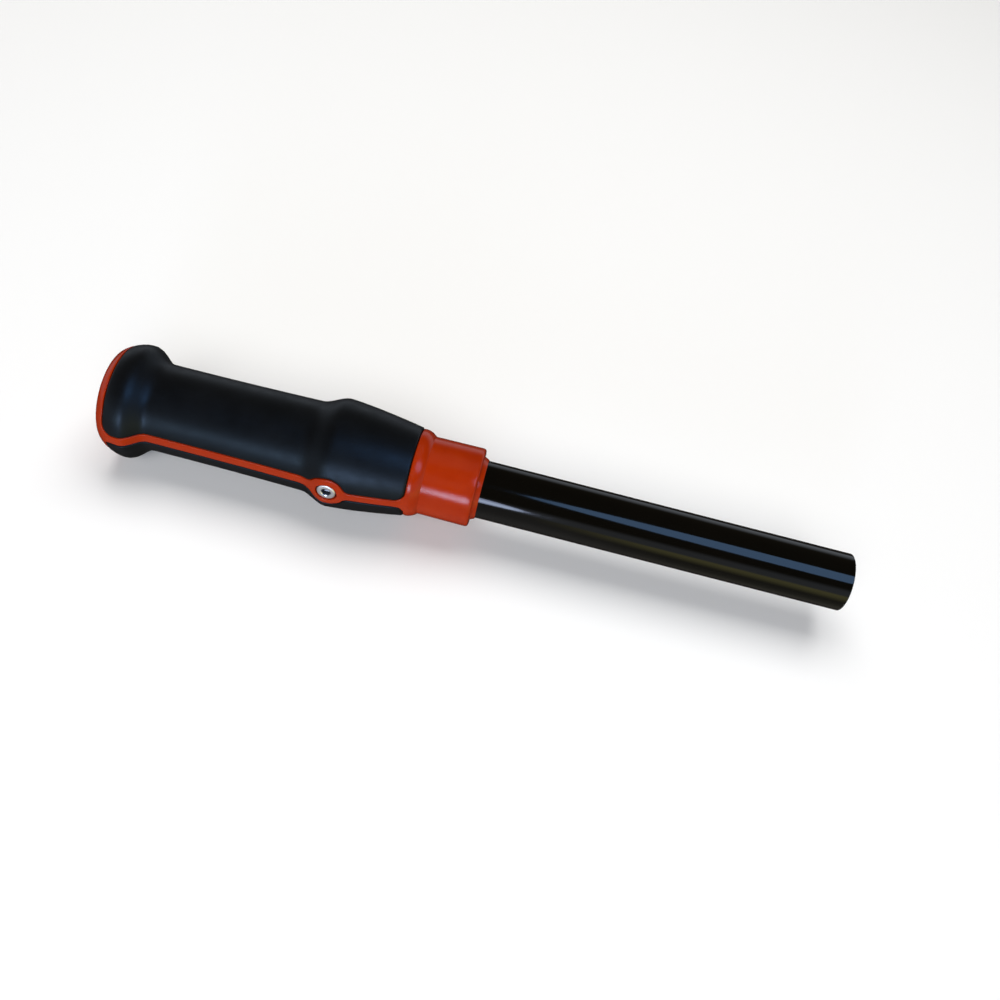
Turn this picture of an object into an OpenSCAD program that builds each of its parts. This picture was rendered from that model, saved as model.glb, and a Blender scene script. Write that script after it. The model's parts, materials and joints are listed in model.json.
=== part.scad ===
// Lower end of a sign pole with a sprung pull-to-release handle.
// X runs along the pole: the origin is the centre of the pole's open end, and the
// handle slides on the pole towards -X. The cross bolt lies along Y, and +Z is up.

/* [Pole tube] */
// Outside diameter of the tube
tube_d = 25.4; // [25.4:0.1:25.6]
// Wall thickness of the tube
tube_wall = 1.5; // [1.4:0.05:1.5]
// Length of the tube, from its open end to the end inside the handle
tube_len = 300; // [300:1:302]
// Diameter of the reamed socket in the tube's open end
socket_d = 23; // [22.8:0.1:23.4]
// Depth of that socket
socket_depth = 30; // [20:1:32]

/* [Handle] */
// Distance from the tube's open end to the front of the handle
handle_gap = 162; // [150:1:163]
// Length of the handle
handle_len = 163.5; // [163:0.1:165]
// Largest diameter of the swell in front of the hand
swell_d = 48; // [46:0.5:50]
// Diameter of the grip at the front of the hand
grip_front_d = 40; // [39.5:0.5:42]
// Diameter of the grip at the back of the hand
grip_rear_d = 38.4; // [38:0.2:40]
// Diameter of the pommel
pommel_d = 49.9; // [48.5:0.1:52]
// Thickness of the soft grip panels
panel_t = 2.2; // [1.6:0.1:2.6]
// Width of the rib between the panels, along the grip
rib_w = 4.6; // [3.6:0.1:6]
// Width of the rib in front of the bolt's boss
rib_front_w = 4.1; // [3:0.1:5]
// Diameter of the round boss around the bolt
boss_d = 15.6; // [13:0.1:16]
// Diameter of the barrel in front of the grip
barrel_d = 34.8; // [34:0.1:35]

/* [Release travel] */
// How far the handle pulls back
travel = 25; // [15:1:25]
// Distance from the handle's front to the cross bolt
bolt_back = 62.9; // [62.9:0.1:64]

/* [Return spring] */
// Wire diameter of the spring
wire_d = 1.6; // [1.2:0.1:1.8]
// Mean coil diameter
coil_d = 18.4; // [17.6:0.1:18.6]
// Length of the spring with the handle at rest
spring_len = 46; // [44:0.5:46]
// Working coils, without the closed coil at each end
working_coils = 8; // [5:1:9]

/* [Pull rod] */
// Diameter of the pull rod
rod_d = 6; // [5:0.5:6]
// Distance from the tube's open end to the rod's coupler
coupler_back = 36; // [34:1:40]

/* [Hidden] */
$fn = 96;

orange = "#c83a14";
soft_black = "#1c1d20";
gloss_black = "#0c0d10";
steel = "#b9bcc0";
acetal = "#e6e2d6";
rubber = "#2a2a2c";

run_gap = 0.05;      // radial clearance of a running fit
slip = 0.05;         // radial gap between fixed pieces
wipe_gap = 0.02;     // radial gap of the wiper on the tube
big = 60;            // longer than any cut needs

// stations along X
tube_back = -tube_len;
front = -handle_gap;
back = front - handle_len;
lip_back = front - 2.1;
panel_front = front - 30.4;
swell_x = front - 64;
grip_front = front - 76;
grip_rear = back + 21;
pommel_front = back + 11.5;
pommel_x = back + 10;
panel_back = back + 4;
bolt_x = front - bolt_back;

// radii
tube_r = tube_d / 2;
tube_in = tube_r - tube_wall;
bore_r = tube_r + 0.6;
barrel_r = barrel_d / 2;
panel_front_r = 19.6;
flange_r = 19.3;
end_face_r = 19.6;
end_round = 1.5;     // 2 makes the butt an ellipse, 1 a straight chamfer
front_seat_r = 14.6;
lip_r = 14.1;        // the front bush's lip narrows towards the tube
lip_front_r = 13.1;
front_bush_l = 25.6; // the part of the bush inside the handle
wiper_l = 3.9;
end_gap = 0.2;       // in front of the wiper ring and behind it
front_seat_x = lip_back - front_bush_l - wiper_l - 2 * end_gap;
rear_seat_r = 14.8;
rear_seat_x = front - 94;
rear_bush_l = 17;
clip_x = rear_seat_x - rear_bush_l - 0.1;
clip_r = 15.4;
clip_in_r = 13.6;
clip_t = 1.2;
recess_r = 19;
recess_x = back + 5;
groove = 0.25;       // shadow groove around each panel
rib_sink = 0.15;     // the rib lies this far below the panels
rear_corner_r = 4.5; // rounding of the panels' corners at the butt
front_corner_r = 4.6;
rear_blend_r = 5;    // fillets between the rib and the bolt's boss
front_blend_r = 3.5;
bite = 0.03;         // a fillet overlaps what it meets by this much, so it isn't only tangent

// M5 cross bolt
bolt_r = 2.5;
bolt_hole_r = 2.6;
head_r = 4.25;
head_h = 5;
head_well_r = 4.7;
bolt_seat = 18;
bolt_l = 40;
bolt_key = 4;
bolt_key_h = 2.5;
nut_af = 8;
nut_h = 5;
nut_collar_h = 1.2;
nut_seat = 16.6;
sleeve_r = 4;
sleeve_in = 8;
sleeve_out = 14;
slot_r = sleeve_r + run_gap;

// anchor block, spring and plug inside the tube
block_r = tube_in - 0.08;
block_half = 14;
nose_r = 7.8;
nose_l = 4;
seat_t = 1;
washer_r = coil_d / 2 + 1.6;
block_back = bolt_x - block_half;
spring_front = block_back - seat_t;
spring_back = spring_front - spring_len;
plug_front = spring_back - seat_t;
pin_back = 3.1;
pin_x = plug_front - pin_back;
pin_r = 1.5;
stem_r = 3;
stem_l = 5.8;
bump_r = 8;
bump_t = 4;
bump_gap = 0.3;

// M6 pull rod
rod_r = rod_d / 2;
thread_hole_r = rod_r + slip;
tapped_r = 2.5;
rod_nut_af = 10;
rod_nut_h = 5;
rod_into_block = 7.5;
block_front = bolt_x + block_half;
coupler_l = 18;
coupler_front = -coupler_back;
coupler_rear = coupler_front - coupler_l;
guide_gap = 11;      // left between the guide and the lock nut with the handle pulled
guide_front = coupler_rear - rod_nut_h - travel - guide_gap;
guide_l = 15;
guide_land = 4;

// butt cap and its screws
cap_t = 2.5;
cap_front = recess_x;
cap_back = cap_front - cap_t;
spigot_l = 6;
spigot_wall = 1.5;
cap_boss_r = 7;
screw_n = 3;
screw_pcd_r = 16.7;
screw_r = 1.25;
screw_head_r = 2.2;
screw_head_h = 1.6;
screw_key = 1.5;
screw_key_h = 1;
screw_l = 8;

// ---- outline of the handle: radius as a function of x ----

function smooth(u) = u * u * (3 - 2 * u);

function nose(x) =
    let (u = (panel_front - x) / (panel_front - swell_x))
    panel_front_r + (swell_d / 2 - panel_front_r) * (u + sin(90 * u)) / 2;

function waist(x) =
    let (u = (swell_x - x) / (swell_x - grip_front))
    swell_d / 2 - (swell_d - grip_front_d) / 2 * smooth(u);

function hand(x) =
    let (u = (x - grip_rear) / (grip_front - grip_rear))
    grip_rear_d / 2 + (grip_front_d - grip_rear_d) / 2 * u * u;

function flare(x) =
    let (u = (grip_rear - x) / (grip_rear - pommel_front))
    grip_rear_d / 2 + (pommel_d - grip_rear_d) / 2 * smooth(u);

function pommel(x) =
    let (u = (pommel_x - x) / (pommel_x - back))
    end_face_r + (pommel_d / 2 - end_face_r) * pow(max(0, 1 - pow(u, end_round)), 1 / end_round);

function outer_r(x) =
    x > swell_x ? nose(x)
    : x > grip_front ? waist(x)
    : x > grip_rear ? hand(x)
    : x > pommel_front ? flare(x)
    : x > pommel_x ? pommel_d / 2
    : pommel(x);

// evenly spread stations from a to b, b left out
function spread(a, b, n) = [for (i = [0 : n - 1]) a + (b - a) * i / n];

panel_stations = concat(spread(panel_front, swell_x, 8), spread(swell_x, grip_front, 8),
    spread(grip_front, grip_rear, 6), spread(grip_rear, pommel_front, 8),
    [pommel_front], spread(pommel_x, panel_back, 5), [panel_back]);
band_stations = concat(spread(panel_back, back, 6), [back]);

// points [radius, x] along the outline, moved inwards by d
function along(stations, d) = [for (x = stations) [outer_r(x) - d, x]];

// ---- shared shapes ----

// turns a profile of [radius, x] points about the X axis
module turned(points) {
    rotate([0, 90, 0]) rotate_extrude() polygon(points);
}

// a ring or disc from x0 to x1
module ring(x0, x1, r, hole = 0) {
    translate([min(x0, x1), 0, 0]) rotate([0, 90, 0]) difference() {
        cylinder(h = abs(x1 - x0), r = r);
        if (hole > 0) translate([0, 0, -1]) cylinder(h = abs(x1 - x0) + 2, r = hole);
    }
}

// a round bar along Y from y0 to y1, at the cross bolt
module across(y0, y1, r) {
    translate([bolt_x, y0, 0]) rotate([-90, 0, 0]) cylinder(h = y1 - y0, r = r);
}

// a hexagonal bar along Y at the cross bolt, measured across flats
module hex_across(y0, y1, af) {
    translate([bolt_x, y0, 0]) rotate([-90, 0, 0])
        cylinder(h = y1 - y0, r = af / sqrt(3), $fn = 6);
}

// the fillet where the rib meets a band: its corner at [x, z], pointing along sx
module corner(x, z, r, sx) {
    translate([x, z]) mirror([sx < 0 ? 1 : 0, 0]) difference() {
        square([r, r]);
        translate([r, r]) circle(r + bite);
    }
}

// the fillet of radius r between the boss and the rib's edge at z = half, towards sx
module boss_blend(half, r, g, sx) {
    far = boss_d / 2 + r;
    dx = sqrt(far * far - (half + r) * (half + r));
    translate([bolt_x, 0]) mirror([sx < 0 ? 1 : 0, 0]) difference() {
        polygon([[0, 0], [dx, 0], [dx, half + r]]);
        translate([dx, half + r]) circle(r - g + bite);
    }
}

// outline of the rib in the XZ plane, grown by g on every side
module rib_outline(g = 0) {
    half = rib_w / 2 + g;
    half_front = rib_front_w / 2 + g;
    translate([panel_back - 1, -half]) square([bolt_x - panel_back + 1, 2 * half]);
    translate([bolt_x, -half_front]) square([panel_front + 1 - bolt_x, 2 * half_front]);
    translate([bolt_x, 0]) circle(boss_d / 2 + g);
    for (side = [0, 1]) mirror([0, side]) {
        corner(panel_back + g, half, rear_corner_r, 1);
        corner(panel_front - g, half_front, front_corner_r, -1);
        boss_blend(rib_w / 2, rear_blend_r, g, -1);
        boss_blend(rib_front_w / 2, front_blend_r, g, 1);
    }
}

// the rib outline as a bar through the handle along Y
module rib_bar(g = 0) {
    translate([0, big / 2, 0]) rotate([90, 0, 0]) linear_extrude(big) rib_outline(g);
}

// ---- fixed to the pole ----

module pole_tube() {
    color(gloss_black) difference() {
        ring(tube_back, 0, tube_r);
        ring(tube_back - 1, -socket_depth, tube_in);
        ring(-socket_depth, 1, socket_d / 2);
        // two slots for the cross bolt, one through each side
        across(-big / 2, big / 2, slot_r);
        translate([-travel, 0, 0]) across(-big / 2, big / 2, slot_r);
        translate([bolt_x - travel, -big / 2, -slot_r]) cube([travel, big, 2 * slot_r]);
        // hole for the plug's pin
        translate([pin_x, 0, -big / 2]) cylinder(h = big, r = pin_r);
    }
}

module tube_end_plug() {
    color(acetal) difference() {
        union() {
            ring(tube_back, plug_front, tube_in - slip);
            ring(plug_front, plug_front + nose_l, nose_r);
        }
        ring(tube_back - 1, tube_back + stem_l + 0.2, stem_r + slip);
        translate([pin_x, 0, -big / 2]) cylinder(h = big, r = pin_r);
    }
}

module plug_pin() {
    pin_l = tube_d - 0.4;
    color(steel) translate([pin_x, 0, -pin_l / 2]) cylinder(h = pin_l, r = pin_r - 0.02);
}

module plug_spring_washer() {
    color(steel) ring(plug_front, spring_back, washer_r, nose_r + 0.1);
}

// The spring is a round wire swept along a helix with one closed coil at each end.
module return_spring() {
    sides = 8;
    per_turn = 22;
    turns = working_coils + 2;
    closed = wire_d * 1.02;
    pitch = (spring_len - wire_d - 2 * closed) / working_coils;
    function climb(t) =
        t < 1 ? closed * t
        : t < turns - 1 ? closed + pitch * (t - 1)
        : closed + pitch * working_coils + closed * (t - turns + 1);
    rings = turns * per_turn;
    points = [for (i = [0 : rings]) for (j = [0 : sides - 1])
        let (t = i / per_turn, a = 360 * t, b = 360 * j / sides,
            r = coil_d / 2 + wire_d / 2 * cos(b))
        [wire_d / 2 + climb(t) + wire_d / 2 * sin(b), r * cos(a), r * sin(a)]];
    faces = concat([[for (j = [0 : sides - 1]) j]],
        [for (i = [0 : rings - 1]) for (j = [0 : sides - 1])
            let (k = (j + 1) % sides)
            [i * sides + k, i * sides + j, (i + 1) * sides + j, (i + 1) * sides + k]],
        [[for (j = [sides - 1 : -1 : 0]) rings * sides + j]]);
    color(steel) translate([spring_back, 0, 0]) polyhedron(points, faces);
}

module rod_guide_bush() {
    rear = guide_front - guide_l;
    color(acetal) difference() {
        ring(rear, guide_front, tube_in - slip, rod_r + run_gap);
        // a waist between two bearing lands
        ring(rear + guide_land, guide_front - guide_land, tube_in + 1, tube_in - 1);
    }
}

module bump_stop() {
    color(rubber) {
        ring(tube_back - bump_t, tube_back, bump_r);
        ring(tube_back, tube_back + stem_l, stem_r);
    }
}

// ---- fixed to the handle ----

module handle_core() {
    shell = concat([[0, panel_front]], along(panel_stations, panel_t), [[0, panel_back]]);
    band = concat([[0, panel_back]], along(band_stations, 0), [[0, back]]);
    // a rounded flange, then the barrel with a softened front edge
    collar = [[0, panel_front], [flange_r, panel_front], [flange_r, panel_front + 1.6],
        [flange_r - 0.35, panel_front + 3.2], [flange_r - 0.95, panel_front + 4.5],
        [flange_r - 1.9, panel_front + 5.6], [barrel_r - 0.3, panel_front + 6.2],
        [barrel_r - 0.2, panel_front + 7.5], [barrel_r, lip_back - 1.3],
        [barrel_r - 0.2, lip_back - 0.6], [barrel_r - 0.6, lip_back - 0.2],
        [barrel_r - 1.3, lip_back], [0, lip_back]];
    rib = concat([[10, panel_front + 0.5]],
        along(panel_stations, rib_sink), [[10, panel_back]]);
    color(orange) difference() {
        union() {
            turned(shell);
            turned(band);
            turned(collar);
            intersection() {
                turned(rib);
                rib_bar();
            }
        }
        ring(back - 1, front + 1, bore_r);
        ring(front_seat_x, front + 1, front_seat_r);
        ring(back - 1, rear_seat_x, rear_seat_r);
        ring(back - 1, recess_x, recess_r);
        // groove for the rear bush's clip
        ring(clip_x - clip_t - 0.1, clip_x, clip_r + 0.1);
        // the cross bolt: its hole, the head's well, the nut's pocket, the sleeves' seats
        across(-big / 2, big / 2, bolt_hole_r);
        across(-big / 2, -bolt_seat, head_well_r);
        hex_across(nut_seat, big / 2, nut_af + 0.1);
        across(-sleeve_out, sleeve_out, sleeve_r + slip);
        cap_screw_places() ring(recess_x - 1, recess_x + screw_l, screw_r + slip);
    }
}

// repeats a screw shape evenly round the cap
module cap_screw_places() {
    for (i = [0 : screw_n - 1]) rotate([360 / screw_n * i + 60, 0, 0])
        translate([0, 0, screw_pcd_r]) children();
}

// one soft panel: the upper one has side = 1, the lower one side = -1
module grip_panel(side) {
    stations = concat([panel_front - groove],
        [for (x = panel_stations) if (x < panel_front && x > panel_back) x],
        [panel_back + groove]);
    inner = along(stations, panel_t);
    skin = concat(along(stations, 0), [for (i = [len(inner) - 1 : -1 : 0]) inner[i]]);
    color(soft_black) difference() {
        turned(skin);
        rib_bar(groove);
        translate([back - 5, -big / 2, side > 0 ? -big : 0])
            cube([handle_len + 10, big, big]);
    }
}

module grip_panel_upper() {
    grip_panel(1);
}

module grip_panel_lower() {
    grip_panel(-1);
}

module butt_cap() {
    boss_end = tube_back - bump_t - bump_gap;
    color(orange) difference() {
        union() {
            ring(cap_back, cap_front, recess_r - 0.1);
            ring(cap_front, cap_front + spigot_l, rear_seat_r - 0.1,
                rear_seat_r - 0.1 - spigot_wall);
            ring(cap_front, boss_end, cap_boss_r);
        }
        cap_screw_places() ring(cap_back - 1, cap_front + 1, screw_r + 0.15);
    }
}

module butt_cap_screws() {
    color(steel) cap_screw_places() difference() {
        union() {
            ring(cap_back - screw_head_h, cap_back, screw_head_r);
            ring(cap_back, cap_back + screw_l, screw_r);
        }
        // recess for a hex key
        translate([cap_back - screw_head_h - 1, 0, 0]) rotate([0, 90, 0])
            cylinder(h = 1 + screw_key_h, r = screw_key / sqrt(3), $fn = 6);
    }
}

module front_bush() {
    color(orange) difference() {
        union() {
            ring(lip_back - front_bush_l, lip_back, front_seat_r - slip);
            turned([[0, lip_back], [lip_r, lip_back], [lip_front_r, front], [0, front]]);
        }
        ring(front_seat_x, front + 1, tube_r + run_gap);
    }
}

module wiper_ring() {
    rear = front_seat_x + end_gap;
    color(rubber) ring(rear, rear + wiper_l, front_seat_r - slip, tube_r + wipe_gap);
}

module rear_bush() {
    color(acetal) difference() {
        ring(rear_seat_x - rear_bush_l, rear_seat_x, rear_seat_r - slip, tube_r + run_gap);
        // grease groove round the middle
        ring(rear_seat_x - rear_bush_l / 2 - 1.5, rear_seat_x - rear_bush_l / 2 + 1.5,
            tube_r + 0.6);
    }
}

module rear_bush_clip() {
    color(steel) difference() {
        ring(clip_x - clip_t, clip_x, clip_r, clip_in_r);
        // the clip is open at the top
        translate([clip_x - 2, -3, 0]) cube([3, 6, 20]);
    }
}

module cross_bolt() {
    color(steel) difference() {
        union() {
            across(-bolt_seat - head_h, -bolt_seat, head_r);
            across(-bolt_seat, bolt_l - bolt_seat, bolt_r);
        }
        hex_across(-bolt_seat - head_h - 1, -bolt_seat - head_h + bolt_key_h, bolt_key);
    }
}

module cross_bolt_nut() {
    color(steel) difference() {
        union() {
            hex_across(nut_seat, nut_seat + nut_h - nut_collar_h, nut_af);
            across(nut_seat, nut_seat + nut_h, nut_af / 2 - 0.4);
        }
        across(nut_seat - 1, nut_seat + nut_h + 1, bolt_r + slip);
    }
}

module slot_sleeves() {
    color(steel) for (side = [0, 1]) mirror([0, side, 0]) difference() {
        across(sleeve_in, sleeve_out, sleeve_r);
        across(sleeve_in - 1, sleeve_out + 1, bolt_hole_r);
    }
}

module anchor_block() {
    color(acetal) difference() {
        union() {
            ring(block_back, block_front, block_r);
            ring(block_back - nose_l, block_back, nose_r);
        }
        across(-big / 2, big / 2, bolt_hole_r);
        for (side = [0, 1]) mirror([0, side, 0]) across(sleeve_in, big / 2, sleeve_r + slip);
        ring(block_front - rod_into_block - 0.5, block_front + 1, thread_hole_r);
    }
}

module block_spring_washer() {
    color(steel) ring(spring_front, block_back, washer_r, nose_r + 0.1);
}

module pull_rod() {
    color(steel) ring(block_front - rod_into_block, coupler_rear + coupler_l / 2, rod_r);
}

// a hexagonal nut or sleeve on the rod, from x0 to x1
module rod_hex(x0, x1) {
    translate([x0, 0, 0]) rotate([0, 90, 0])
        cylinder(h = x1 - x0, r = rod_nut_af / sqrt(3), $fn = 6);
}

module rod_lock_nuts() {
    color(steel) for (x = [block_front, coupler_rear - rod_nut_h]) difference() {
        rod_hex(x, x + rod_nut_h);
        ring(x - 1, x + rod_nut_h + 1, thread_hole_r);
    }
}

module rod_coupler() {
    color(steel) difference() {
        rod_hex(coupler_rear, coupler_front);
        ring(coupler_rear - 1, coupler_rear + coupler_l / 2, thread_hole_r);
        ring(coupler_rear + coupler_l / 2, coupler_front + 1, tapped_r);
    }
}

pole_tube();
tube_end_plug();
plug_pin();
plug_spring_washer();
return_spring();
rod_guide_bush();
bump_stop();
handle_core();
grip_panel_upper();
grip_panel_lower();
butt_cap();
butt_cap_screws();
front_bush();
wiper_ring();
rear_bush();
rear_bush_clip();
cross_bolt();
cross_bolt_nut();
slot_sleeves();
anchor_block();
block_spring_washer();
pull_rod();
rod_lock_nuts();
rod_coupler();
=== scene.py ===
import json
import math

import bmesh
import bpy
from mathutils import Matrix, Vector
from mathutils.geometry import delaunay_2d_cdt


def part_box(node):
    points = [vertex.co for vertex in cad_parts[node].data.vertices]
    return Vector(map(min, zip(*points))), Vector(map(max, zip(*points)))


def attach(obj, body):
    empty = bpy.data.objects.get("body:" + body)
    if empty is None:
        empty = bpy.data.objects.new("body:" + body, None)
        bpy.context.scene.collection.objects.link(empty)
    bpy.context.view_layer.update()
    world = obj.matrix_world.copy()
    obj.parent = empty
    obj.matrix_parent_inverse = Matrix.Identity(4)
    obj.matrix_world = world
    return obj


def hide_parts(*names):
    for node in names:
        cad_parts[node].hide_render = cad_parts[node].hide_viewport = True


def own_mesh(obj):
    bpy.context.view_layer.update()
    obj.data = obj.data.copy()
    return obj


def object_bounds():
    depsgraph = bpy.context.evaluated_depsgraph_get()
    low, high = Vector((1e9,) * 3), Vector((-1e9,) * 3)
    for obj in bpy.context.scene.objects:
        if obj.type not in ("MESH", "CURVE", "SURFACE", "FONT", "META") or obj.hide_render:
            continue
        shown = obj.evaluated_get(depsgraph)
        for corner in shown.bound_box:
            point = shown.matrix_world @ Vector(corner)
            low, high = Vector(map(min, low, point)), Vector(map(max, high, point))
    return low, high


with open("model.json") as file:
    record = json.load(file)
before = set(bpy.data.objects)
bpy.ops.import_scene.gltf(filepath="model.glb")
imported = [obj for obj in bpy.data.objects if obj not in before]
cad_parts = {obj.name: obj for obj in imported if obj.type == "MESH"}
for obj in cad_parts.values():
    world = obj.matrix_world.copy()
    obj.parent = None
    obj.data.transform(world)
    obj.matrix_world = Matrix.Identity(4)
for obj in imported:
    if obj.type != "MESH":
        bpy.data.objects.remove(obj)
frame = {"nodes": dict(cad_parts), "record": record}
cad_box = [list(map(float, corner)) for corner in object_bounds()]

MM = 0.001
QUARTER = math.pi / 2

# ---- places, all from the frame ----

tube_lo, tube_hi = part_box("pole_tube")
core_lo, core_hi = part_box("handle_core")
panel_lo, panel_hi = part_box("grip_panel_upper")
bush_lo, bush_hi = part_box("front_bush")
bolt_lo, bolt_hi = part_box("cross_bolt")
nut_lo, nut_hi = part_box("cross_bolt_nut")
cap_lo, cap_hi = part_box("butt_cap")
screws_lo, screws_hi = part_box("butt_cap_screws")
spring_lo, spring_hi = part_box("return_spring")
pin_lo, pin_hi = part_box("plug_pin")
wiper_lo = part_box("wiper_ring")[0]
sleeve_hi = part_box("slot_sleeves")[1]
travel = frame["record"]["behaviour"]["joints"][0]["range_m"][1]

GROOVE = 0.25 * MM
BACK = core_lo[0]
FRONT = bush_hi[0]
LIP_BACK = core_hi[0]
PANEL_BACK = panel_lo[0] - GROOVE
PANEL_FRONT = panel_hi[0] + GROOVE
BOLT_X = (bolt_lo[0] + bolt_hi[0]) / 2

# ---- outline of the handle, radius against x, as the CAD has it ----

SWELL_X = FRONT - 64 * MM
GRIP_FRONT = FRONT - 76 * MM
GRIP_REAR = BACK + 21 * MM
POMMEL_FRONT = BACK + 11.5 * MM
POMMEL_X = BACK + 10 * MM
NOSE_R, SWELL_R, GRIP_FRONT_R, GRIP_REAR_R = 19.6 * MM, 24 * MM, 20 * MM, 19.2 * MM
POMMEL_R, END_R = 24.95 * MM, 19.6 * MM
END_ROUND = 1.5
PANEL_T = 2.2 * MM
RIB_SINK = 0.15 * MM
FLANGE_R = 19.3 * MM


def smooth(u):
    return u * u * (3 - 2 * u)


def outline(x):
    """The handle's outer radius at x."""
    if x > SWELL_X:
        u = (PANEL_FRONT - x) / (PANEL_FRONT - SWELL_X)
        return NOSE_R + (SWELL_R - NOSE_R) * (u + math.sin(QUARTER * u)) / 2
    if x > GRIP_FRONT:
        return SWELL_R - (SWELL_R - GRIP_FRONT_R) * smooth((SWELL_X - x) / (SWELL_X - GRIP_FRONT))
    if x > GRIP_REAR:
        u = (x - GRIP_REAR) / (GRIP_FRONT - GRIP_REAR)
        return GRIP_REAR_R + (GRIP_FRONT_R - GRIP_REAR_R) * u * u
    if x > POMMEL_FRONT:
        return GRIP_REAR_R + (POMMEL_R - GRIP_REAR_R) * smooth((GRIP_REAR - x) / (GRIP_REAR - POMMEL_FRONT))
    if x > POMMEL_X:
        return POMMEL_R
    u = (POMMEL_X - x) / (POMMEL_X - BACK)
    return END_R + (POMMEL_R - END_R) * max(0, 1 - u ** END_ROUND) ** (1 / END_ROUND)


# ---- the rib's edge between the panels ----

HALF_REAR = 2.3 * MM
HALF_FRONT = 2.05 * MM
BOSS_R = 7.8 * MM
BLEND_REAR = 5 * MM
BLEND_FRONT = 3.5 * MM
CORNER_REAR = 4.5 * MM
CORNER_FRONT = 4.6 * MM
WELL_R = 4.7 * MM
STATIONS = 24  # steps in a quarter turn
QUARTER_TURN = [QUARTER * i / STATIONS for i in range(STATIONS + 1)]
PAST_CORNER = 6  # the first station clear of the rib's rounded corners
END_STATIONS = QUARTER_TURN[PAST_CORNER:]


def arc(cx, cz, r, a0, a1, n):
    """n steps of an arc in the XZ plane, its first point left out."""
    return [(cx + r * math.cos(a0 + (a1 - a0) * i / n), cz + r * math.sin(a0 + (a1 - a0) * i / n))
            for i in range(1, n + 1)]


def line(x0, x1, z, n):
    return [(x0 + (x1 - x0) * i / n, z) for i in range(1, n + 1)]


def edge(e):
    """The rib's upper edge moved by e towards the panel, as (x, angle) from the top of the butt
    end, down and along the rib, to the top of the front end. The angle is 0 at -Y and 90 on top."""
    reach = lambda half, blend: math.sqrt((BOSS_R + blend) ** 2 - (half + blend) ** 2)
    rear, fore = reach(HALF_REAR, BLEND_REAR), reach(HALF_FRONT, BLEND_FRONT)
    up_rear, up_fore = HALF_REAR + BLEND_REAR, HALF_FRONT + BLEND_FRONT
    x0, x1 = PANEL_BACK + e, PANEL_FRONT - e
    rear_z, fore_z = HALF_REAR + CORNER_REAR, HALF_FRONT + CORNER_FRONT
    xz = [(x0, rear_z)]
    xz += arc(PANEL_BACK + CORNER_REAR, rear_z, CORNER_REAR - e, -2 * QUARTER, -QUARTER, 12)
    xz += line(PANEL_BACK + CORNER_REAR, BOLT_X - rear, HALF_REAR + e, 48)
    xz += arc(BOLT_X - rear, up_rear, BLEND_REAR - e, -QUARTER, math.atan2(-up_rear, rear), 8)
    xz += arc(BOLT_X, 0, BOSS_R + e, math.atan2(up_rear, -rear), math.atan2(up_fore, fore), 16)
    xz += arc(BOLT_X + fore, up_fore, BLEND_FRONT - e, math.atan2(-up_fore, -fore), -QUARTER, 8)
    xz += line(BOLT_X + fore, PANEL_FRONT - CORNER_FRONT, HALF_FRONT + e, 8)
    xz += arc(PANEL_FRONT - CORNER_FRONT, fore_z, CORNER_FRONT - e, -QUARTER, 0, 10)
    rib = [(x, math.asin(z / outline(x))) for x, z in xz]
    return [(x0, a) for a in reversed(END_STATIONS)] + rib + [(x1, a) for a in END_STATIONS]


# ---- mesh making ----

WELD = 0.002 * MM
KEYS_PER_METRE = 1e7  # corners that round to the same key share a vertex


class Shell:
    """Collects faces by their corners' places and welds the corners that fall together."""

    def __init__(self):
        self.at, self.points, self.faces = {}, [], []

    def corner(self, p):
        key = tuple(round(c * KEYS_PER_METRE) for c in p)
        if key not in self.at:
            self.at[key] = len(self.points)
            self.points.append(tuple(p))
        return self.at[key]

    def face(self, *places):
        ids = []
        for p in places:
            i = self.corner(p)
            if i not in ids:
                ids.append(i)
        if len(ids) > 2:
            self.faces.append(ids)

    def strip(self, a, b):
        """Quads between two rows of as many places."""
        for i in range(len(a) - 1):
            self.face(a[i], a[i + 1], b[i + 1], b[i])

    def mirrored(self, axis):
        """Adds the mirror image across the plane through the origin, normal to axis."""
        flip = [1, 1, 1]
        flip[axis] = -1
        for ids in list(self.faces):
            self.face(*[[c * f for c, f in zip(self.points[i], flip)] for i in reversed(ids)])

    def object(self, name, body, node, material, sharp=40):
        """The mesh as an object; an edge that turns by more than sharp degrees stays sharp."""
        mesh = bpy.data.meshes.new(name)
        mesh.from_pydata(self.points, [], self.faces)
        bm = bmesh.new()
        bm.from_mesh(mesh)
        bmesh.ops.remove_doubles(bm, verts=bm.verts, dist=WELD)
        bmesh.ops.recalc_face_normals(bm, faces=bm.faces)
        for f in bm.faces:
            f.smooth = True
        for e in bm.edges:
            e.smooth = len(e.link_faces) == 2 and e.calc_face_angle(0) < math.radians(sharp)
        bm.to_mesh(mesh)
        bm.free()
        obj = bpy.data.objects.new(name, mesh)
        bpy.context.scene.collection.objects.link(obj)
        mesh.materials.append(material)
        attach(obj, body)
        if node:
            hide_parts(node)
        return obj


def place(x, angle, drop=0.0, radius=None):
    r = (outline(x) if radius is None else radius) - drop
    return (x, -r * math.cos(angle), r * math.sin(angle))


def inside(p, loop):
    hit = False
    for (x0, y0), (x1, y1) in zip(loop, loop[1:] + loop[:1]):
        if (y0 > p[1]) != (y1 > p[1]) and p[0] < x0 + (p[1] - y0) / (y1 - y0) * (x1 - x0):
            hit = not hit
    return hit


def far_from(p, loop, gap):
    for (x0, y0), (x1, y1) in zip(loop, loop[1:] + loop[:1]):
        dx, dy = x1 - x0, y1 - y0
        t = max(0, min(1, ((p[0] - x0) * dx + (p[1] - y0) * dy) / (dx * dx + dy * dy + 1e-18)))
        if (p[0] - x0 - t * dx) ** 2 + (p[1] - y0 - t * dy) ** 2 < gap * gap:
            return False
    return True


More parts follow.
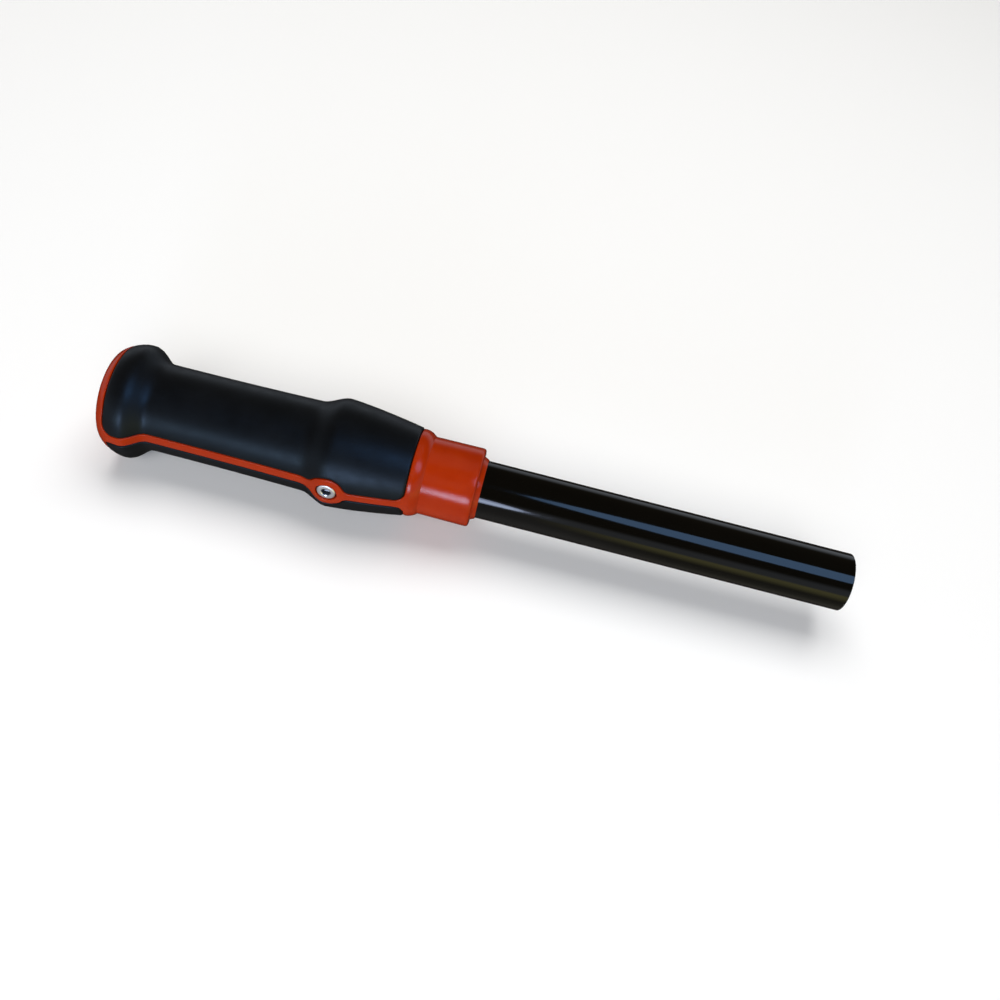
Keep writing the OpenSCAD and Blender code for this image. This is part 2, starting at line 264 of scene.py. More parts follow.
SPREAD_R = 22 * MM  # turns an angle into a length while filling
FINE, COARSE = 1.6 * MM, 3 * MM  # triangle sizes on seen and on hidden surfaces
ON_SEAM = 1e-6  # radians from a mirror plane
CLEAR_OF_EDGE = 0.45  # steps between a filling point and the loop


def fill(shell, loop, put, step):
    """Triangles over the (x, angle) loop, put in place by put(x, angle). A long side of the loop
    along a mirror plane, at angle 0 or 90, is cut into steps."""
    flat = []
    for (xa, a), (xb, b) in zip(loop, loop[1:] + loop[:1]):
        seam = abs(a - b) < ON_SEAM and min(abs(a), abs(a - QUARTER)) < ON_SEAM
        n = max(1, round(abs(xb - xa) / step)) if seam else 1
        flat += [(xa + (xb - xa) * i / n, (a + (b - a) * i / n) * SPREAD_R) for i in range(n)]
    xs = [p[0] for p in flat]
    points = list(flat)
    columns = int((max(xs) - min(xs)) / step)
    for i in range(1, columns):
        for j in range(1, STATIONS):
            p = (min(xs) + (max(xs) - min(xs)) * i / columns, QUARTER * j / STATIONS * SPREAD_R)
            if inside(p, flat) and far_from(p, flat, CLEAR_OF_EDGE * step):
                points.append(p)
    n = len(flat)
    verts, _, faces, *_ = delaunay_2d_cdt([Vector(p) for p in points], [], [list(range(n))], 1, 1e-9)
    for f in faces:
        shell.face(*[put(verts[i][0], verts[i][1] / SPREAD_R) for i in f])


def rounding(radius, n=4):
    """(how far in, how deep) along a quarter-round edge, from the wall to the flat."""
    turns = [QUARTER * i / n for i in range(n + 1)]
    return [(radius * (1 - math.cos(a)), radius * (1 - math.sin(a))) for a in turns]


def along_x(s, p, q):
    return (s, -p, q)


def along_bolt(s, p, q):
    return (BOLT_X + p, s, q)


def hexagon(flats):
    """Radius by angle of a hexagon, from its size across flats, with a corner at angle 0."""
    return lambda a: flats / 2 / math.cos(a % (math.pi / 3) - math.pi / 6)


def turn(shell, profile, put=along_x, steps=4 * STATIONS):
    """A turned surface through (place along the axis, radius) points; a radius may also be a
    function of the angle, such as a hexagon's."""
    def ring(s, r):
        angles = [2 * math.pi * i / steps for i in range(steps + 1)]
        radii = [r(a) if callable(r) else r for a in angles]
        return [put(s, k * math.cos(a), k * math.sin(a)) for a, k in zip(angles, radii)]
    rings = [ring(s, r) for s, r in profile]
    for a, b in zip(rings, rings[1:]):
        shell.strip(a, b)


def fillet(corner, before, after, r, n=4):
    """Points of a round of radius r at a right-angled or blunt corner of a profile."""
    c, p, q = Vector(corner), Vector(before), Vector(after)
    u, v = (p - c).normalized(), (q - c).normalized()
    half = math.acos(max(-1, min(1, u.dot(v)))) / 2
    reach = r / math.tan(half)
    mid = c + (u + v).normalized() * (r / math.sin(half))
    a, b = c + u * reach - mid, c + v * reach - mid
    sweep = a.angle(b)
    out = []
    for i in range(n + 1):
        t = i / n
        w = (a * math.sin((1 - t) * sweep) + b * math.sin(t * sweep)) / math.sin(sweep)
        out.append(tuple(mid + w))
    return out


def rounded(points, radii):
    """A profile with each inner corner rounded by its radius; 0 keeps it sharp."""
    out = [points[0]]
    for i in range(1, len(points) - 1):
        r = radii[i - 1]
        out += fillet(points[i], points[i - 1], points[i + 1], r) if r else [points[i]]
    return out + [points[-1]]


# ---- materials ----

def material(name, color, metallic=0.0, roughness=0.4):
    m = bpy.data.materials.new(name)
    m.use_nodes = True
    b = m.node_tree.nodes["Principled BSDF"]
    b.inputs["Base Color"].default_value = (*color, 1)
    b.inputs["Metallic"].default_value = metallic
    b.inputs["Roughness"].default_value = roughness
    return m


def noise(m, scale, detail=4.0, rough=0.5, stretch=(1, 1, 1)):
    """A noise texture in object space, its scale in features per metre."""
    tree = m.node_tree
    coords = tree.nodes.new("ShaderNodeTexCoord")
    mapping = tree.nodes.new("ShaderNodeMapping")
    mapping.inputs["Scale"].default_value = stretch
    tex = tree.nodes.new("ShaderNodeTexNoise")
    tex.inputs["Scale"].default_value = scale
    tex.inputs["Detail"].default_value = detail
    tex.inputs["Roughness"].default_value = rough
    tree.links.new(coords.outputs["Object"], mapping.inputs["Vector"])
    tree.links.new(mapping.outputs["Vector"], tex.inputs["Vector"])
    return tex.outputs["Fac"]


def ramp(m, source, low, high, stops=(0.3, 0.7)):
    """Maps a 0..1 source to a range of values or colours."""
    tree = m.node_tree
    node = tree.nodes.new("ShaderNodeValToRGB")
    node.color_ramp.elements[0].position, node.color_ramp.elements[1].position = stops
    for element, value in zip(node.color_ramp.elements, (low, high)):
        element.color = (*value, 1) if isinstance(value, tuple) else (value, value, value, 1)
    tree.links.new(source, node.inputs["Fac"])
    return node.outputs["Color"]


def into(m, socket, source):
    m.node_tree.links.new(source, m.node_tree.nodes["Principled BSDF"].inputs[socket])


def bumps(m, *layers):
    """Stacks (source, strength, distance) height layers."""
    tree = m.node_tree
    last = None
    for source, strength, distance in layers:
        node = tree.nodes.new("ShaderNodeBump")
        node.inputs["Strength"].default_value = strength
        node.inputs["Distance"].default_value = distance
        tree.links.new(source, node.inputs["Height"])
        if last:
            tree.links.new(last, node.inputs["Normal"])
        last = node.outputs["Normal"]
    into(m, "Normal", last)


def orange_plastic():
    m = material("orange_plastic", (0.27, 0.017, 0.0004), roughness=0.2)
    m.node_tree.nodes["Principled BSDF"].inputs["Specular IOR Level"].default_value = 0.16
    into(m, "Base Color", ramp(m, noise(m, 90, 3), (0.25, 0.0150, 0.0003), (0.28, 0.0190, 0.0005)))
    into(m, "Roughness", ramp(m, noise(m, 260, 6, 0.6), 0.14, 0.24))
    bumps(m, (noise(m, 2600, 2), 0.05, 0.00004), (noise(m, 160, 2), 0.10, 0.0001))
    return m


def soft_grip():
    m = material("soft_grip", (0.004, 0.0045, 0.006), roughness=0.42)
    b = m.node_tree.nodes["Principled BSDF"]
    b.inputs["Specular IOR Level"].default_value = 0.19
    b.inputs["Specular Tint"].default_value = (0.62, 0.82, 1, 1)
    into(m, "Base Color", ramp(m, noise(m, 60, 4), (0.0018, 0.0018, 0.002), (0.003, 0.0031, 0.0036)))
    into(m, "Roughness", ramp(m, noise(m, 180, 6, 0.65), 0.36, 0.48))
    bumps(m, (noise(m, 4200, 2, 0.6), 0.20, 0.00006), (noise(m, 120, 2), 0.10, 0.0001))
    return m


def gloss_black():
    m = material("gloss_black", (0.002, 0.0018, 0.0015), roughness=0.10)
    m.node_tree.nodes["Principled BSDF"].inputs["Specular IOR Level"].default_value = 0.2
    into(m, "Base Color", ramp(m, noise(m, 40, 3), (0.0010, 0.0009, 0.0006), (0.0015, 0.0012, 0.0008)))
    into(m, "Roughness", ramp(m, noise(m, 70, 5, 0.6, (0.25, 1, 1)), 0.05, 0.12))
    bumps(m, (noise(m, 330, 2), 0.05, 0.0001))
    return m


def bright_steel(name="bright_steel", tone=0.5, low=0.2, high=0.34):
    m = material(name, (tone, tone, tone * 1.02), metallic=1.0, roughness=0.25)
    into(m, "Roughness", ramp(m, noise(m, 900, 6, 0.6), low, high))
    into(m, "Base Color", ramp(m, noise(m, 300, 4), (tone * 0.9,) * 3, (tone, tone, tone * 1.03)))
    bumps(m, (noise(m, 5200, 3, 0.6), 0.12, 0.00003))
    return m


def acetal():
    m = material("acetal", (0.74, 0.72, 0.64), roughness=0.42)
    into(m, "Base Color", ramp(m, noise(m, 120, 4), (0.70, 0.68, 0.59), (0.78, 0.76, 0.69)))
    bumps(m, (noise(m, 1800, 3, 0.5, (6, 1, 1)), 0.12, 0.00003))
    return m


def black_rubber():
    m = material("black_rubber", (0.018, 0.018, 0.019), roughness=0.7)
    into(m, "Roughness", ramp(m, noise(m, 500, 5), 0.6, 0.82))
    bumps(m, (noise(m, 2400, 3, 0.6), 0.25, 0.00006))
    return m


def steel_with_painted_recess_shade(name, axis, top):
    """Bright steel whose recess is painted dark, a painted shade; top is the head's face along the axis."""
    m = bright_steel(name, 0.78, 0.34, 0.46)
    tree = m.node_tree
    base = tree.nodes["Principled BSDF"].inputs["Base Color"]
    unshaded = base.links[0].from_socket
    coords = tree.nodes.new("ShaderNodeTexCoord")
    split = tree.nodes.new("ShaderNodeSeparateXYZ")
    depth = tree.nodes.new("ShaderNodeMapRange")
    depth.inputs["From Min"].default_value = top + 0.3 * MM
    depth.inputs["From Max"].default_value = top + 0.7 * MM
    mix = tree.nodes.new("ShaderNodeMix")
    mix.data_type = "RGBA"
    # painted shade: the dark grey the recess fades to, from 0.3 to 0.7 mm below the head's face
    mix.inputs["B"].default_value = (0.20, 0.20, 0.22, 1)
    tree.links.new(coords.outputs["Object"], split.inputs["Vector"])
    tree.links.new(split.outputs[axis], depth.inputs["Value"])
    tree.links.new(depth.outputs["Result"], mix.inputs["Factor"])
    tree.links.new(unshaded, mix.inputs["A"])
    tree.links.new(mix.outputs["Result"], base)
    return m


MAT = {
    "orange": orange_plastic(),
    "soft_grip": soft_grip(),
    "pole_black": gloss_black(),
    "steel": bright_steel(),
    "spring_steel": bright_steel("spring_steel", 0.32, 0.28, 0.45),
    "acetal": acetal(),
    "rubber": black_rubber(),
}

for part in frame["record"]["subparts"]:
    obj = frame["nodes"][part["node"]]
    for s in obj.material_slots:
        s.material = MAT[part["material_slot"]]

# ---- the grip panels ----

PANEL_EDGE = 0.8 * MM
PANEL_MARGIN = 1.6 * PANEL_EDGE  # from the edge to where the triangles start


def grip_panel(name, side):
    """A soft shell between the ribs with rounded edges; side is 1 above and -1 below."""
    shell = Shell()
    rows = [[place(x, a, deep) for x, a in edge(GROOVE + into_panel)]
            for into_panel, deep in rounding(PANEL_EDGE)]
    rows.append([place(x, a) for x, a in edge(GROOVE + PANEL_MARGIN)])
    foot = [place(x, a, PANEL_T) for x, a in edge(GROOVE)]
    shell.strip(foot, rows[0])
    for a, b in zip(rows, rows[1:]):
        shell.strip(a, b)
    fill(shell, edge(GROOVE + PANEL_MARGIN), place, FINE)
    fill(shell, edge(GROOVE), lambda x, a: place(x, a, PANEL_T), COARSE)
    shell.mirrored(1)
    if side < 0:
        shell.points = [(x, y, -z) for x, y, z in shell.points]
    return shell.object(name, "handle", name.replace("soft_", "grip_"), MAT["soft_grip"])


grip_panel("soft_panel_upper", 1)
grip_panel("soft_panel_lower", -1)

# ---- the orange core ----

RIB_EDGE = 0.5 * MM
WELL_EDGE = 0.4 * MM
STEP = 0.3 * MM  # the usual small rounding or chamfer
LIP_EDGE = 0.35 * MM
BAND_MARGIN = 0.8 * MM
FLANGE_L = 5.8 * MM
FLANGE_DROP = 2.1 * MM
FLANGE_CURVE = 2.2  # power of the fall towards the barrel
BARREL_R = 17.4 * MM
BOLT_SEAT = 18 * MM  # from the axis to the floor of the screw's well
WELL_STEPS = 24  # in half a turn
CAP_T = 2.5 * MM
BUTT_SPACING = 1.6  # power that crowds the stations at the butt's end


def core_quarter(well, floor_y):
    """A quarter of the core between the butt and the flange: half a rib and half a panel seat."""
    shell = Shell()
    x0, x1 = PANEL_BACK - BAND_MARGIN, PANEL_FRONT + BAND_MARGIN
    top = lambda x, a, deep=0.0: place(x, a, deep, core_radius(x))
    rows = [[top(x, a, deep) for x, a in edge(-off)] for off, deep in rounding(RIB_EDGE)]
    seat = [place(x, a, PANEL_T) for x, a in edge(0)]
    shell.strip(seat, rows[0])
    for a, b in zip(rows, rows[1:]):
        shell.strip(a, b)
    fill(shell, edge(0), lambda x, a: place(x, a, PANEL_T), COARSE)
    # the well of the bolt, its edge rounded
    flat = lambda grow: [(x, math.asin(z / outline(x))) for x, z in well(grow)]
    steps = [[top(x, a, deep) for x, a in flat(off)] for off, deep in rounding(WELL_EDGE)]
    floor = [(x, floor_y, z) for x, z in well(0)]
    shell.strip(floor, steps[0])
    for a, b in zip(steps, steps[1:]):
        shell.strip(a, b)
    shell.face(*floor)
    loop = [(x0, a) for a in reversed(QUARTER_TURN)] + flat(WELL_EDGE) + [(x1, a) for a in QUARTER_TURN]
    loop += list(reversed(edge(-RIB_EDGE)))
    fill(shell, loop, top, FINE)
    return shell


def core_radius(x):
    """The rib lies a little below the panels; it is flush at the butt and falls to the flange."""
    sink_l, fall_l = 5 * MM, 4 * MM
    rear = smooth(min(1, max(0, (x - PANEL_BACK) / sink_l)))
    fore = smooth(min(1, max(0, (x - PANEL_FRONT + fall_l) / fall_l)))
    rib = outline(x) - RIB_SINK * rear
    return rib + (FLANGE_R - rib) * fore


def half_turn(r):
    """Points around half a well of radius r(angle), from its back to its front."""
    angles = [math.pi * i / WELL_STEPS for i in range(WELL_STEPS + 1)]
    return [(BOLT_X - r(a) * math.cos(a), r(a) * math.sin(a)) for a in angles]


def round_well(grow):
    return half_turn(lambda a: WELL_R + grow)


NUT_AF = nut_hi[2] - nut_lo[2] + 0.1 * MM


def hex_well(grow):
    """Half of a hexagonal pocket, corners to the front and back."""
    return half_turn(hexagon(NUT_AF + 2 * grow))


def handle_core():
    near = core_quarter(round_well, -BOLT_SEAT)
    far = core_quarter(hex_well, -nut_lo[1])
    shell = Shell()
    for quarter, flip in ((near, 1), (far, -1)):
        for ids in quarter.faces:
            shell.face(*[(x, y * flip, z) for x, y, z in (quarter.points[i] for i in ids)])
    shell.mirrored(2)
    x0, x1 = PANEL_BACK - BAND_MARGIN, PANEL_FRONT + BAND_MARGIN
    # butt: round end, end face and the recess for the cap
    steps = 10
    spots = [BACK + (x0 - BACK) * (1 - i / steps) ** BUTT_SPACING for i in range(steps + 1)]
    butt = [(x, outline(x)) for x in spots]
    recess_r, recess_x = 19 * MM, cap_lo[0] + CAP_T
    rear_seat_r, rear_seat_x = 14.8 * MM, FRONT - 94 * MM
    bore_r = tube_hi[2] + 0.6 * MM
    front_seat_r, front_seat_x = 14.6 * MM, wiper_lo[0] - 0.2 * MM
    inner = rounded([butt[-1], (BACK, recess_r), (recess_x, recess_r), (recess_x, rear_seat_r)],
                    [LIP_EDGE, STEP])
    inner += [(rear_seat_x, rear_seat_r), (rear_seat_x, bore_r), (front_seat_x, bore_r),
              (front_seat_x, front_seat_r)]
    falls = [i / 12 for i in range(12, -1, -1)]
    flange = [(x1 + u * (PANEL_FRONT + FLANGE_L - x1), FLANGE_R - FLANGE_DROP * u ** FLANGE_CURVE)
              for u in falls]
    barrel_l, neck_x, neck_r = 4 * MM, PANEL_FRONT + FLANGE_L + 0.9 * MM, BARREL_R - 0.2 * MM
    barrel_edge, neck_fillet = 1.3 * MM, 0.5 * MM
    barrel = rounded([(LIP_BACK, front_seat_r), (LIP_BACK, BARREL_R), (LIP_BACK - barrel_l, BARREL_R),
                      (neck_x, neck_r), flange[0]], [barrel_edge, 0, neck_fillet])
    turn(shell, butt + inner[1:] + barrel + flange[1:])
    return shell.object("handle_body", "handle", "handle_core", MAT["orange"])


handle_core()

# ---- the tube, with its two slots and the pin's hole ----

TUBE_R = tube_hi[2]
TUBE_IN = TUBE_R - 1.5 * MM
SOCKET_R, SOCKET_L = 11.5 * MM, 30 * MM
SLOT_R = sleeve_hi[2] + 0.05 * MM
PIN_R = (pin_hi[0] - pin_lo[0]) / 2 + 0.02 * MM
PIN_X = (pin_lo[0] + pin_hi[0]) / 2


def slot_edge(r):
    """One slot's upper half on a wall of radius r, from its back end to its front end."""
    back = BOLT_X - travel
    half = [(back - SLOT_R, 0)] + arc(back, 0, SLOT_R, 2 * QUARTER, QUARTER, 10)
    half += line(back, BOLT_X, SLOT_R, 12) + arc(BOLT_X, 0, SLOT_R, QUARTER, 0, 10)
    return [(x, math.asin(max(0, z) / r)) for x, z in half]


def pin_edge(r):
    """Half of the pin's hole at the top of the wall, from its front to its back."""
    angles = [math.pi * i / 12 for i in range(13)]
    spots = [(PIN_X + PIN_R * math.cos(a), PIN_R * math.sin(a)) for a in angles]
    return [(x, QUARTER - math.asin(max(0, y) / r)) for x, y in spots]


def pole_tube():
    shell = Shell()
    x0, x1 = tube_lo[0] + 2 * MM, BOLT_X + 3 * SLOT_R  # between them lie the holes
    step = 2.5 * MM
    edges = []
    for r in (TUBE_R, TUBE_IN):
        put = lambda x, a, r=r: place(x, a, 0, r)
        fill(shell, [(x0, a) for a in reversed(QUARTER_TURN)] + slot_edge(r)
             + [(x1, a) for a in QUARTER_TURN] + pin_edge(r), put, step)
        edges.append([[put(x, a) for x, a in rim] for rim in (slot_edge(r), pin_edge(r))])
    for outer, inner in zip(*edges):
        shell.strip(outer, inner)
    shell.mirrored(1)
    shell.mirrored(2)
    turn(shell, rounded([(x0, TUBE_R), (tube_lo[0], TUBE_R), (tube_lo[0], TUBE_IN), (x0, TUBE_IN)],
                        [STEP, STEP]))
    front = rounded([(x1, TUBE_R), (tube_hi[0], TUBE_R), (tube_hi[0], SOCKET_R), (-SOCKET_L, SOCKET_R)],
                    [LIP_EDGE, STEP])
    turn(shell, front + [(-SOCKET_L, TUBE_IN), (x1, TUBE_IN)])
    shell.object("tube", "pole", "pole_tube", MAT["pole_black"])


pole_tube()

# ---- front bush, butt cap and fasteners ----


def front_bush():
    shell = Shell()
    bore, seat = TUBE_R + 0.05 * MM, 14.55 * MM
    lip_back_r, lip_front_r, bore_edge = 14.1 * MM, 13.1 * MM, 0.12 * MM
    corners = [(bush_lo[0], bore), (bush_lo[0], seat), (LIP_BACK, seat), (LIP_BACK, lip_back_r),
               (FRONT, lip_front_r), (FRONT, bore), (bush_lo[0], bore)]
    turn(shell, rounded(corners, [STEP, 0, 0, LIP_EDGE, bore_edge]))
    shell.object("front_lip", "handle", "front_bush", MAT["orange"])


front_bush()


def cap_screw(shell, put, seat, top, head_r, key, key_l, end, shank_r, edge_r):
    """A socket head screw; seat, top and end are places along its axis."""
    out = 1 if top > seat else -1
    under_edge, mouth_gap, mouth_l = 0.15 * MM, 0.1 * MM, 0.25 * MM
    profile = [(end, 0), (end, shank_r - STEP), (end + out * STEP, shank_r), (seat, shank_r)]
    profile += rounded([(seat, shank_r), (seat, head_r), (top, head_r), (top, 0)], [under_edge, edge_r])[1:-1]
    mouth = key / math.sqrt(3) + mouth_gap
    profile += [(top, mouth), (top - out * mouth_l, hexagon(key)), (top - out * key_l, hexagon(key)),
                (top - out * (key_l + key / 4), 0)]
    turn(shell, profile, put, 48)


def cross_bolt():
    shell = Shell()
    cap_screw(shell, along_bolt, seat=-BOLT_SEAT, top=bolt_lo[1], head_r=bolt_hi[2], key=4 * MM,
              key_l=2.5 * MM, end=bolt_hi[1], shank_r=2.5 * MM, edge_r=0.9 * MM)
    steel = steel_with_painted_recess_shade("bolt_steel", "Y", bolt_lo[1])
    shell.object("cross_bolt_screw", "handle", "cross_bolt", steel, sharp=32)


def cross_bolt_nut():
    """A hexagonal nut with chamfered corners and a round locking collar."""
    shell = Shell()
    flats = nut_hi[2] - nut_lo[2]
    hole, collar = 2.55 * MM, flats / 2 - 0.4 * MM
    corner, cut = flats / math.sqrt(3), 0.5 * MM
    collar_l, collar_edge, hole_edge = 1.2 * MM, 0.4 * MM, 0.2 * MM
    chamfer = lambda drop: lambda a: min(hexagon(flats)(a), corner - drop)
    body = nut_hi[1] - collar_l
    profile = [(nut_lo[1], hole), (nut_lo[1], chamfer(cut)), (nut_lo[1] + STEP, chamfer(0)),
               (body - STEP, chamfer(0)), (body, chamfer(cut)), (body, collar)]
    profile += rounded([(body, collar), (nut_hi[1], collar), (nut_hi[1], hole), (nut_lo[1], hole)],
                       [collar_edge, hole_edge])[1:]
    turn(shell, profile, along_bolt, 72)
    shell.object("lock_nut", "handle", "cross_bolt_nut", MAT["steel"], sharp=32)


SCREW_PCD_R = 16.7 * MM
SCREW_ANGLES = [math.radians(60 + 120 * i) for i in range(3)]


def butt_cap_screws():
    shell = Shell()
    for turn_by in SCREW_ANGLES:
        cy, cz = -SCREW_PCD_R * math.sin(turn_by), SCREW_PCD_R * math.cos(turn_by)
        put = lambda s, p, q, cy=cy, cz=cz: (s, cy + p, cz + q)
        cap_screw(shell, put, seat=cap_lo[0], top=screws_lo[0], head_r=2.2 * MM, key=1.5 * MM,
                  key_l=1.0 * MM, end=screws_hi[0], shank_r=1.25 * MM, edge_r=0.45 * MM)
    steel = steel_with_painted_recess_shade("cap_screw_steel", "X", screws_lo[0])
    shell.object("cap_screws", "handle", "butt_cap_screws", steel, sharp=32)


def circle(cx, cy, r, n):
    angles = [2 * math.pi * i / n for i in range(n)]
    return [(cx + r * math.cos(a), cy + r * math.sin(a)) for a in angles]


def butt_cap():
    """A disc with three screw holes, a spigot and the boss that meets the bump stop."""
    shell = Shell()
    disc_r, hole_r, edge_r = 18.9 * MM, 1.4 * MM, LIP_EDGE
    back, front = cap_lo[0], cap_lo[0] + CAP_T
    spigot_r, spigot_l, spigot_t, boss_r = 14.7 * MM, 6 * MM, 1.5 * MM, 7 * MM
    flat_r = disc_r - edge_r
    # rings without a hole that split the outer face into smaller triangles
    split_at = (0.3, 0.6)
    around = [2 * math.pi * i / 96 for i in range(96)]
    rim_at = lambda r: [(-r * math.cos(a), r * math.sin(a)) for a in around]
    holes = [circle(-SCREW_PCD_R * math.sin(t), SCREW_PCD_R * math.cos(t), hole_r, 20) for t in SCREW_ANGLES]
    splits = [circle(0, 0, k * flat_r, 24) for k in split_at]
    spigot = [rim_at(spigot_r)]
    for x, outer, inner, blocked in ((back, rim_at(flat_r), splits, holes),
                                     (front, rim_at(disc_r), spigot, holes + spigot)):
        loops = [outer] + holes + inner
        points, ids = [], []
        for loop in loops:
            ids.append(list(range(len(points), len(points) + len(loop))))
            points += loop
        verts, _, faces, *_ = delaunay_2d_cdt([Vector(p) for p in points], [], ids, 1, 1e-9)
        for f in faces:
            mid = sum((verts[i] for i in f), Vector((0, 0))) / len(f)
            if not any(inside(mid, b) for b in blocked):
                shell.face(*[(x, verts[i][0], verts[i][1]) for i in f])
    for hole in holes:
        rim = hole + hole[:1]
        shell.strip([(back, y, z) for y, z in rim], [(front, y, z) for y, z in rim])
    turn(shell, rounded([(back, flat_r - STEP), (back, disc_r), (front, disc_r)], [edge_r])[1:])
    inner_r, spigot_x = spigot_r - spigot_t, front + spigot_l
    turn(shell, rounded([(front, spigot_r), (spigot_x, spigot_r), (spigot_x, inner_r), (front, inner_r),
                         (front, boss_r), (cap_hi[0], boss_r), (cap_hi[0], 0)], [STEP, STEP, 0, 0, STEP]))
    shell.object("end_cap", "handle", "butt_cap", MAT["orange"])


cross_bolt()
cross_bolt_nut()
butt_cap_screws()
butt_cap()

# ---- the return spring, squeezed as the handle is pulled ----

WIRE_R = 0.8 * MM
WORKING_COILS = 8
CLOSED_PITCH = 2.04 * WIRE_R  # of the end coils, a hair over the wire's thickness


def return_spring():
    shell = Shell()
    coil_r = spring_hi[2] - WIRE_R
    span = spring_hi[0] - spring_lo[0] - 2 * WIRE_R
    pitch = (span - 2 * CLOSED_PITCH) / WORKING_COILS
    turns, per_turn, sides = WORKING_COILS + 2, 40, 14

    def climb(t):
        """How far along the spring the wire is after t turns."""
        if t < 1:
            return CLOSED_PITCH * t
        return CLOSED_PITCH + pitch * (t - 1) if t < turns - 1 else span - CLOSED_PITCH * (turns - t)

    def ring(i, r=WIRE_R):
        t = i / per_turn
        a = 2 * math.pi * t
        out = []
        for j in range(sides + 1):
            b = 2 * math.pi * j / sides
            reach = coil_r + r * math.cos(b)
            x = spring_lo[0] + WIRE_R + climb(t) + r * math.sin(b)
            out.append((x, reach * math.cos(a), reach * math.sin(a)))
        return out

    rings = [ring(i) for i in range(turns * per_turn + 1)]
    for a, b in zip(rings, rings[1:]):
        shell.strip(a, b)
    for i, end in ((0, rings[0]), (turns * per_turn, rings[-1])):
        small = ring(i, WIRE_R * 0.5)
        shell.strip(end, small)
        shell.face(*small[:-1])
    spring = shell.object("coil_spring", "pole", "return_spring",
                          MAT["spring_steel"], sharp=60)
    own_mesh(spring)


return_spring()

# ---- stage, light and camera ----

FLOOR_HALF = 4
FLOOR_GAP = 0.001
floor_z = cad_box[0][2] - FLOOR_GAP
floor_corners = ((-1, -1), (1, -1), (1, 1), (-1, 1))
floor_mesh = bpy.data.meshes.new("floor")
floor_places = [(x * FLOOR_HALF, y * FLOOR_HALF, floor_z) for x, y in floor_corners]
floor_mesh.from_pydata(floor_places, [], [(0, 1, 2, 3)])
floor = bpy.data.objects.new("floor", floor_mesh)
bpy.context.scene.collection.objects.link(floor)
floor_mesh.materials.append(material("pale_floor", (0.86, 0.86, 0.86), roughness=0.9))
floor.visible_glossy = False  # the world's gradient stands in for it, so edges don't flare white

VIEW_ELEVATION = math.radians(50.7)
VIEW_ROLL = math.radians(14.4)
VIEW_DISTANCE = 0.434
VIEW_DROP = 0.0026
VIEW_BACK = 0.1533  # from the tube's cut end to the middle of the view
MIDDLE_X = tube_hi[0] - VIEW_BACK
up = Vector((0, math.sin(VIEW_ELEVATION), math.cos(VIEW_ELEVATION)))
towards = Vector((0, -math.cos(VIEW_ELEVATION), math.sin(VIEW_ELEVATION)))
x_axis = Vector((1, 0, 0))
right = x_axis * math.cos(VIEW_ROLL) + up * math.sin(VIEW_ROLL)
top = up * math.cos(VIEW_ROLL) - x_axis * math.sin(VIEW_ROLL)
target = Vector((MIDDLE_X, 0, 0)) - up * VIEW_DROP
cam = bpy.data.objects.new("camera", bpy.data.cameras.new("camera"))
bpy.context.scene.collection.objects.link(cam)
cam.data.lens = 36
cam.data.sensor_width = 36
cam.data.clip_start = 0.01
spot = target + towards * VIEW_DISTANCE
cam.matrix_world = Matrix((
    (right.x, top.x, towards.x, spot.x),
    (right.y, top.y, towards.y, spot.y),
    (right.z, top.z, towards.z, spot.z),
    (0, 0, 0, 1)))
bpy.context.scene.camera = cam


def area_light(name, spot, aim, width, height, watts, color, shape="RECTANGLE"):
    data = bpy.data.lights.new(name, "AREA")
    data.shape = shape
    data.size, data.size_y = width, height
    data.energy = watts
    data.color = color
    obj = bpy.data.objects.new(name, data)
    obj.location = spot
    back = (Vector(spot) - Vector(aim)).normalized()
    side = Vector((1, 0, 0))
    side = (side - back * side.dot(back)).normalized()
    rise = back.cross(side)
    obj.matrix_world = Matrix((
        (side.x, rise.x, back.x, spot[0]),
        (side.y, rise.y, back.y, spot[1]),
        (side.z, rise.z, back.z, spot[2]),
        (0, 0, 0, 1)))
    bpy.context.scene.collection.objects.link(obj)
    return obj


mid = (MIDDLE_X, 0, 0)
overhead = area_light("overhead_softbox", (MIDDLE_X, 0.5, 1.5), mid, 1.6, 1.2, 22, (1, 1, 0.99))
overhead.visible_glossy = False
fill_light = area_light("fill_softbox", (MIDDLE_X, -1.4, 1.3), mid, 1.6, 0.8, 21, (1, 0.99, 0.98))
fill_light.visible_glossy = False
area_light("window_softbox", (-0.40, -1.0, 0.08), (-0.17, 0, 0), 0.7, 0.16, 3.2, (0.66, 0.83, 1))
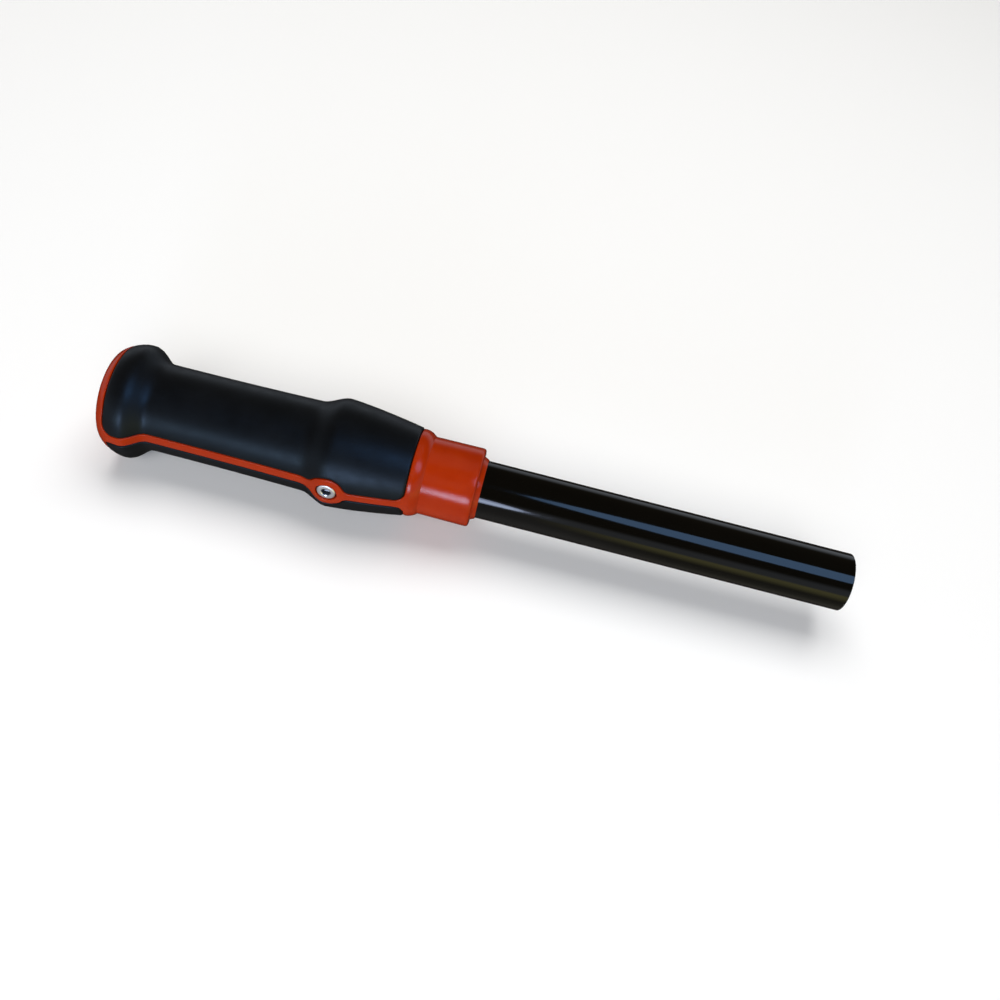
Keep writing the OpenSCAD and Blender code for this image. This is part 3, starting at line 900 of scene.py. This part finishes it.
# two oval lamps, whose reflections taper to a point along the collar and along the tube
area_light("collar_lamp", (-0.18, -1.0, 0.10), (-0.17, 0, 0), 0.26, 0.36, 4.0, (0.58, 0.68, 1), "ELLIPSE")
tube_lamp = area_light("tube_lamp", (0.62, -0.54, 1.27), mid, 1.4, 0.75, 17, (0.30, 0.56, 1), "ELLIPSE")
tube_lamp.visible_diffuse = False


def studio_world():
    """What shiny pieces mirror: a sky pale at the horizon and dark and warm above it, so that
    black pieces stay black, and a ground grey in front, nearly black behind and olive at +X."""
    world = bpy.data.worlds.new("studio")
    world.use_nodes = True
    tree = world.node_tree
    coords = tree.nodes.new("ShaderNodeTexCoord")
    split = tree.nodes.new("ShaderNodeSeparateXYZ")
    tree.links.new(coords.outputs["Generated"], split.inputs["Vector"])

    def fade(axis, low, high, low_color, high_color):
        """One colour below low on the ray's axis, another above high, and a blend between."""
        span = tree.nodes.new("ShaderNodeMapRange")
        span.inputs["From Min"].default_value = low
        span.inputs["From Max"].default_value = high
        colors = tree.nodes.new("ShaderNodeValToRGB")
        colors.color_ramp.interpolation = "EASE"
        colors.color_ramp.elements[0].color = (*low_color, 1)
        colors.color_ramp.elements[1].color = (*high_color, 1)
        tree.links.new(split.outputs[axis], span.inputs["Value"])
        tree.links.new(span.outputs["Result"], colors.inputs["Fac"])
        return colors.outputs["Color"]

    def mix(factor, a, b):
        node = tree.nodes.new("ShaderNodeMix")
        node.data_type = "RGBA"
        for socket, source in (("Factor", factor), ("A", a), ("B", b)):
            tree.links.new(source, node.inputs[socket])
        return node.outputs["Result"]

    black, white = (0, 0, 0), (1, 1, 1)
    sky = fade("Z", 0.16, 0.42, (0.80, 0.86, 0.95), (0.10, 0.085, 0.06))
    ground = fade("Y", -0.7, 0.2, (0.42, 0.41, 0.40), (0.05, 0.045, 0.04))
    meadow = fade("Z", -0.62, -0.15, (0.22, 0.21, 0.17), (1.9, 1.75, 0.75))
    ahead = mix(fade("X", 0.06, 0.30, black, white), ground, meadow)
    below = mix(fade("Y", -0.15, 0.10, black, white), ahead, ground)
    whole = mix(fade("Z", -0.14, -0.07, black, white), below, sky)
    tree.links.new(whole, tree.nodes["Background"].inputs["Color"])
    return world


bpy.context.scene.world = studio_world()
bpy.context.scene.view_settings.view_transform = "Standard"
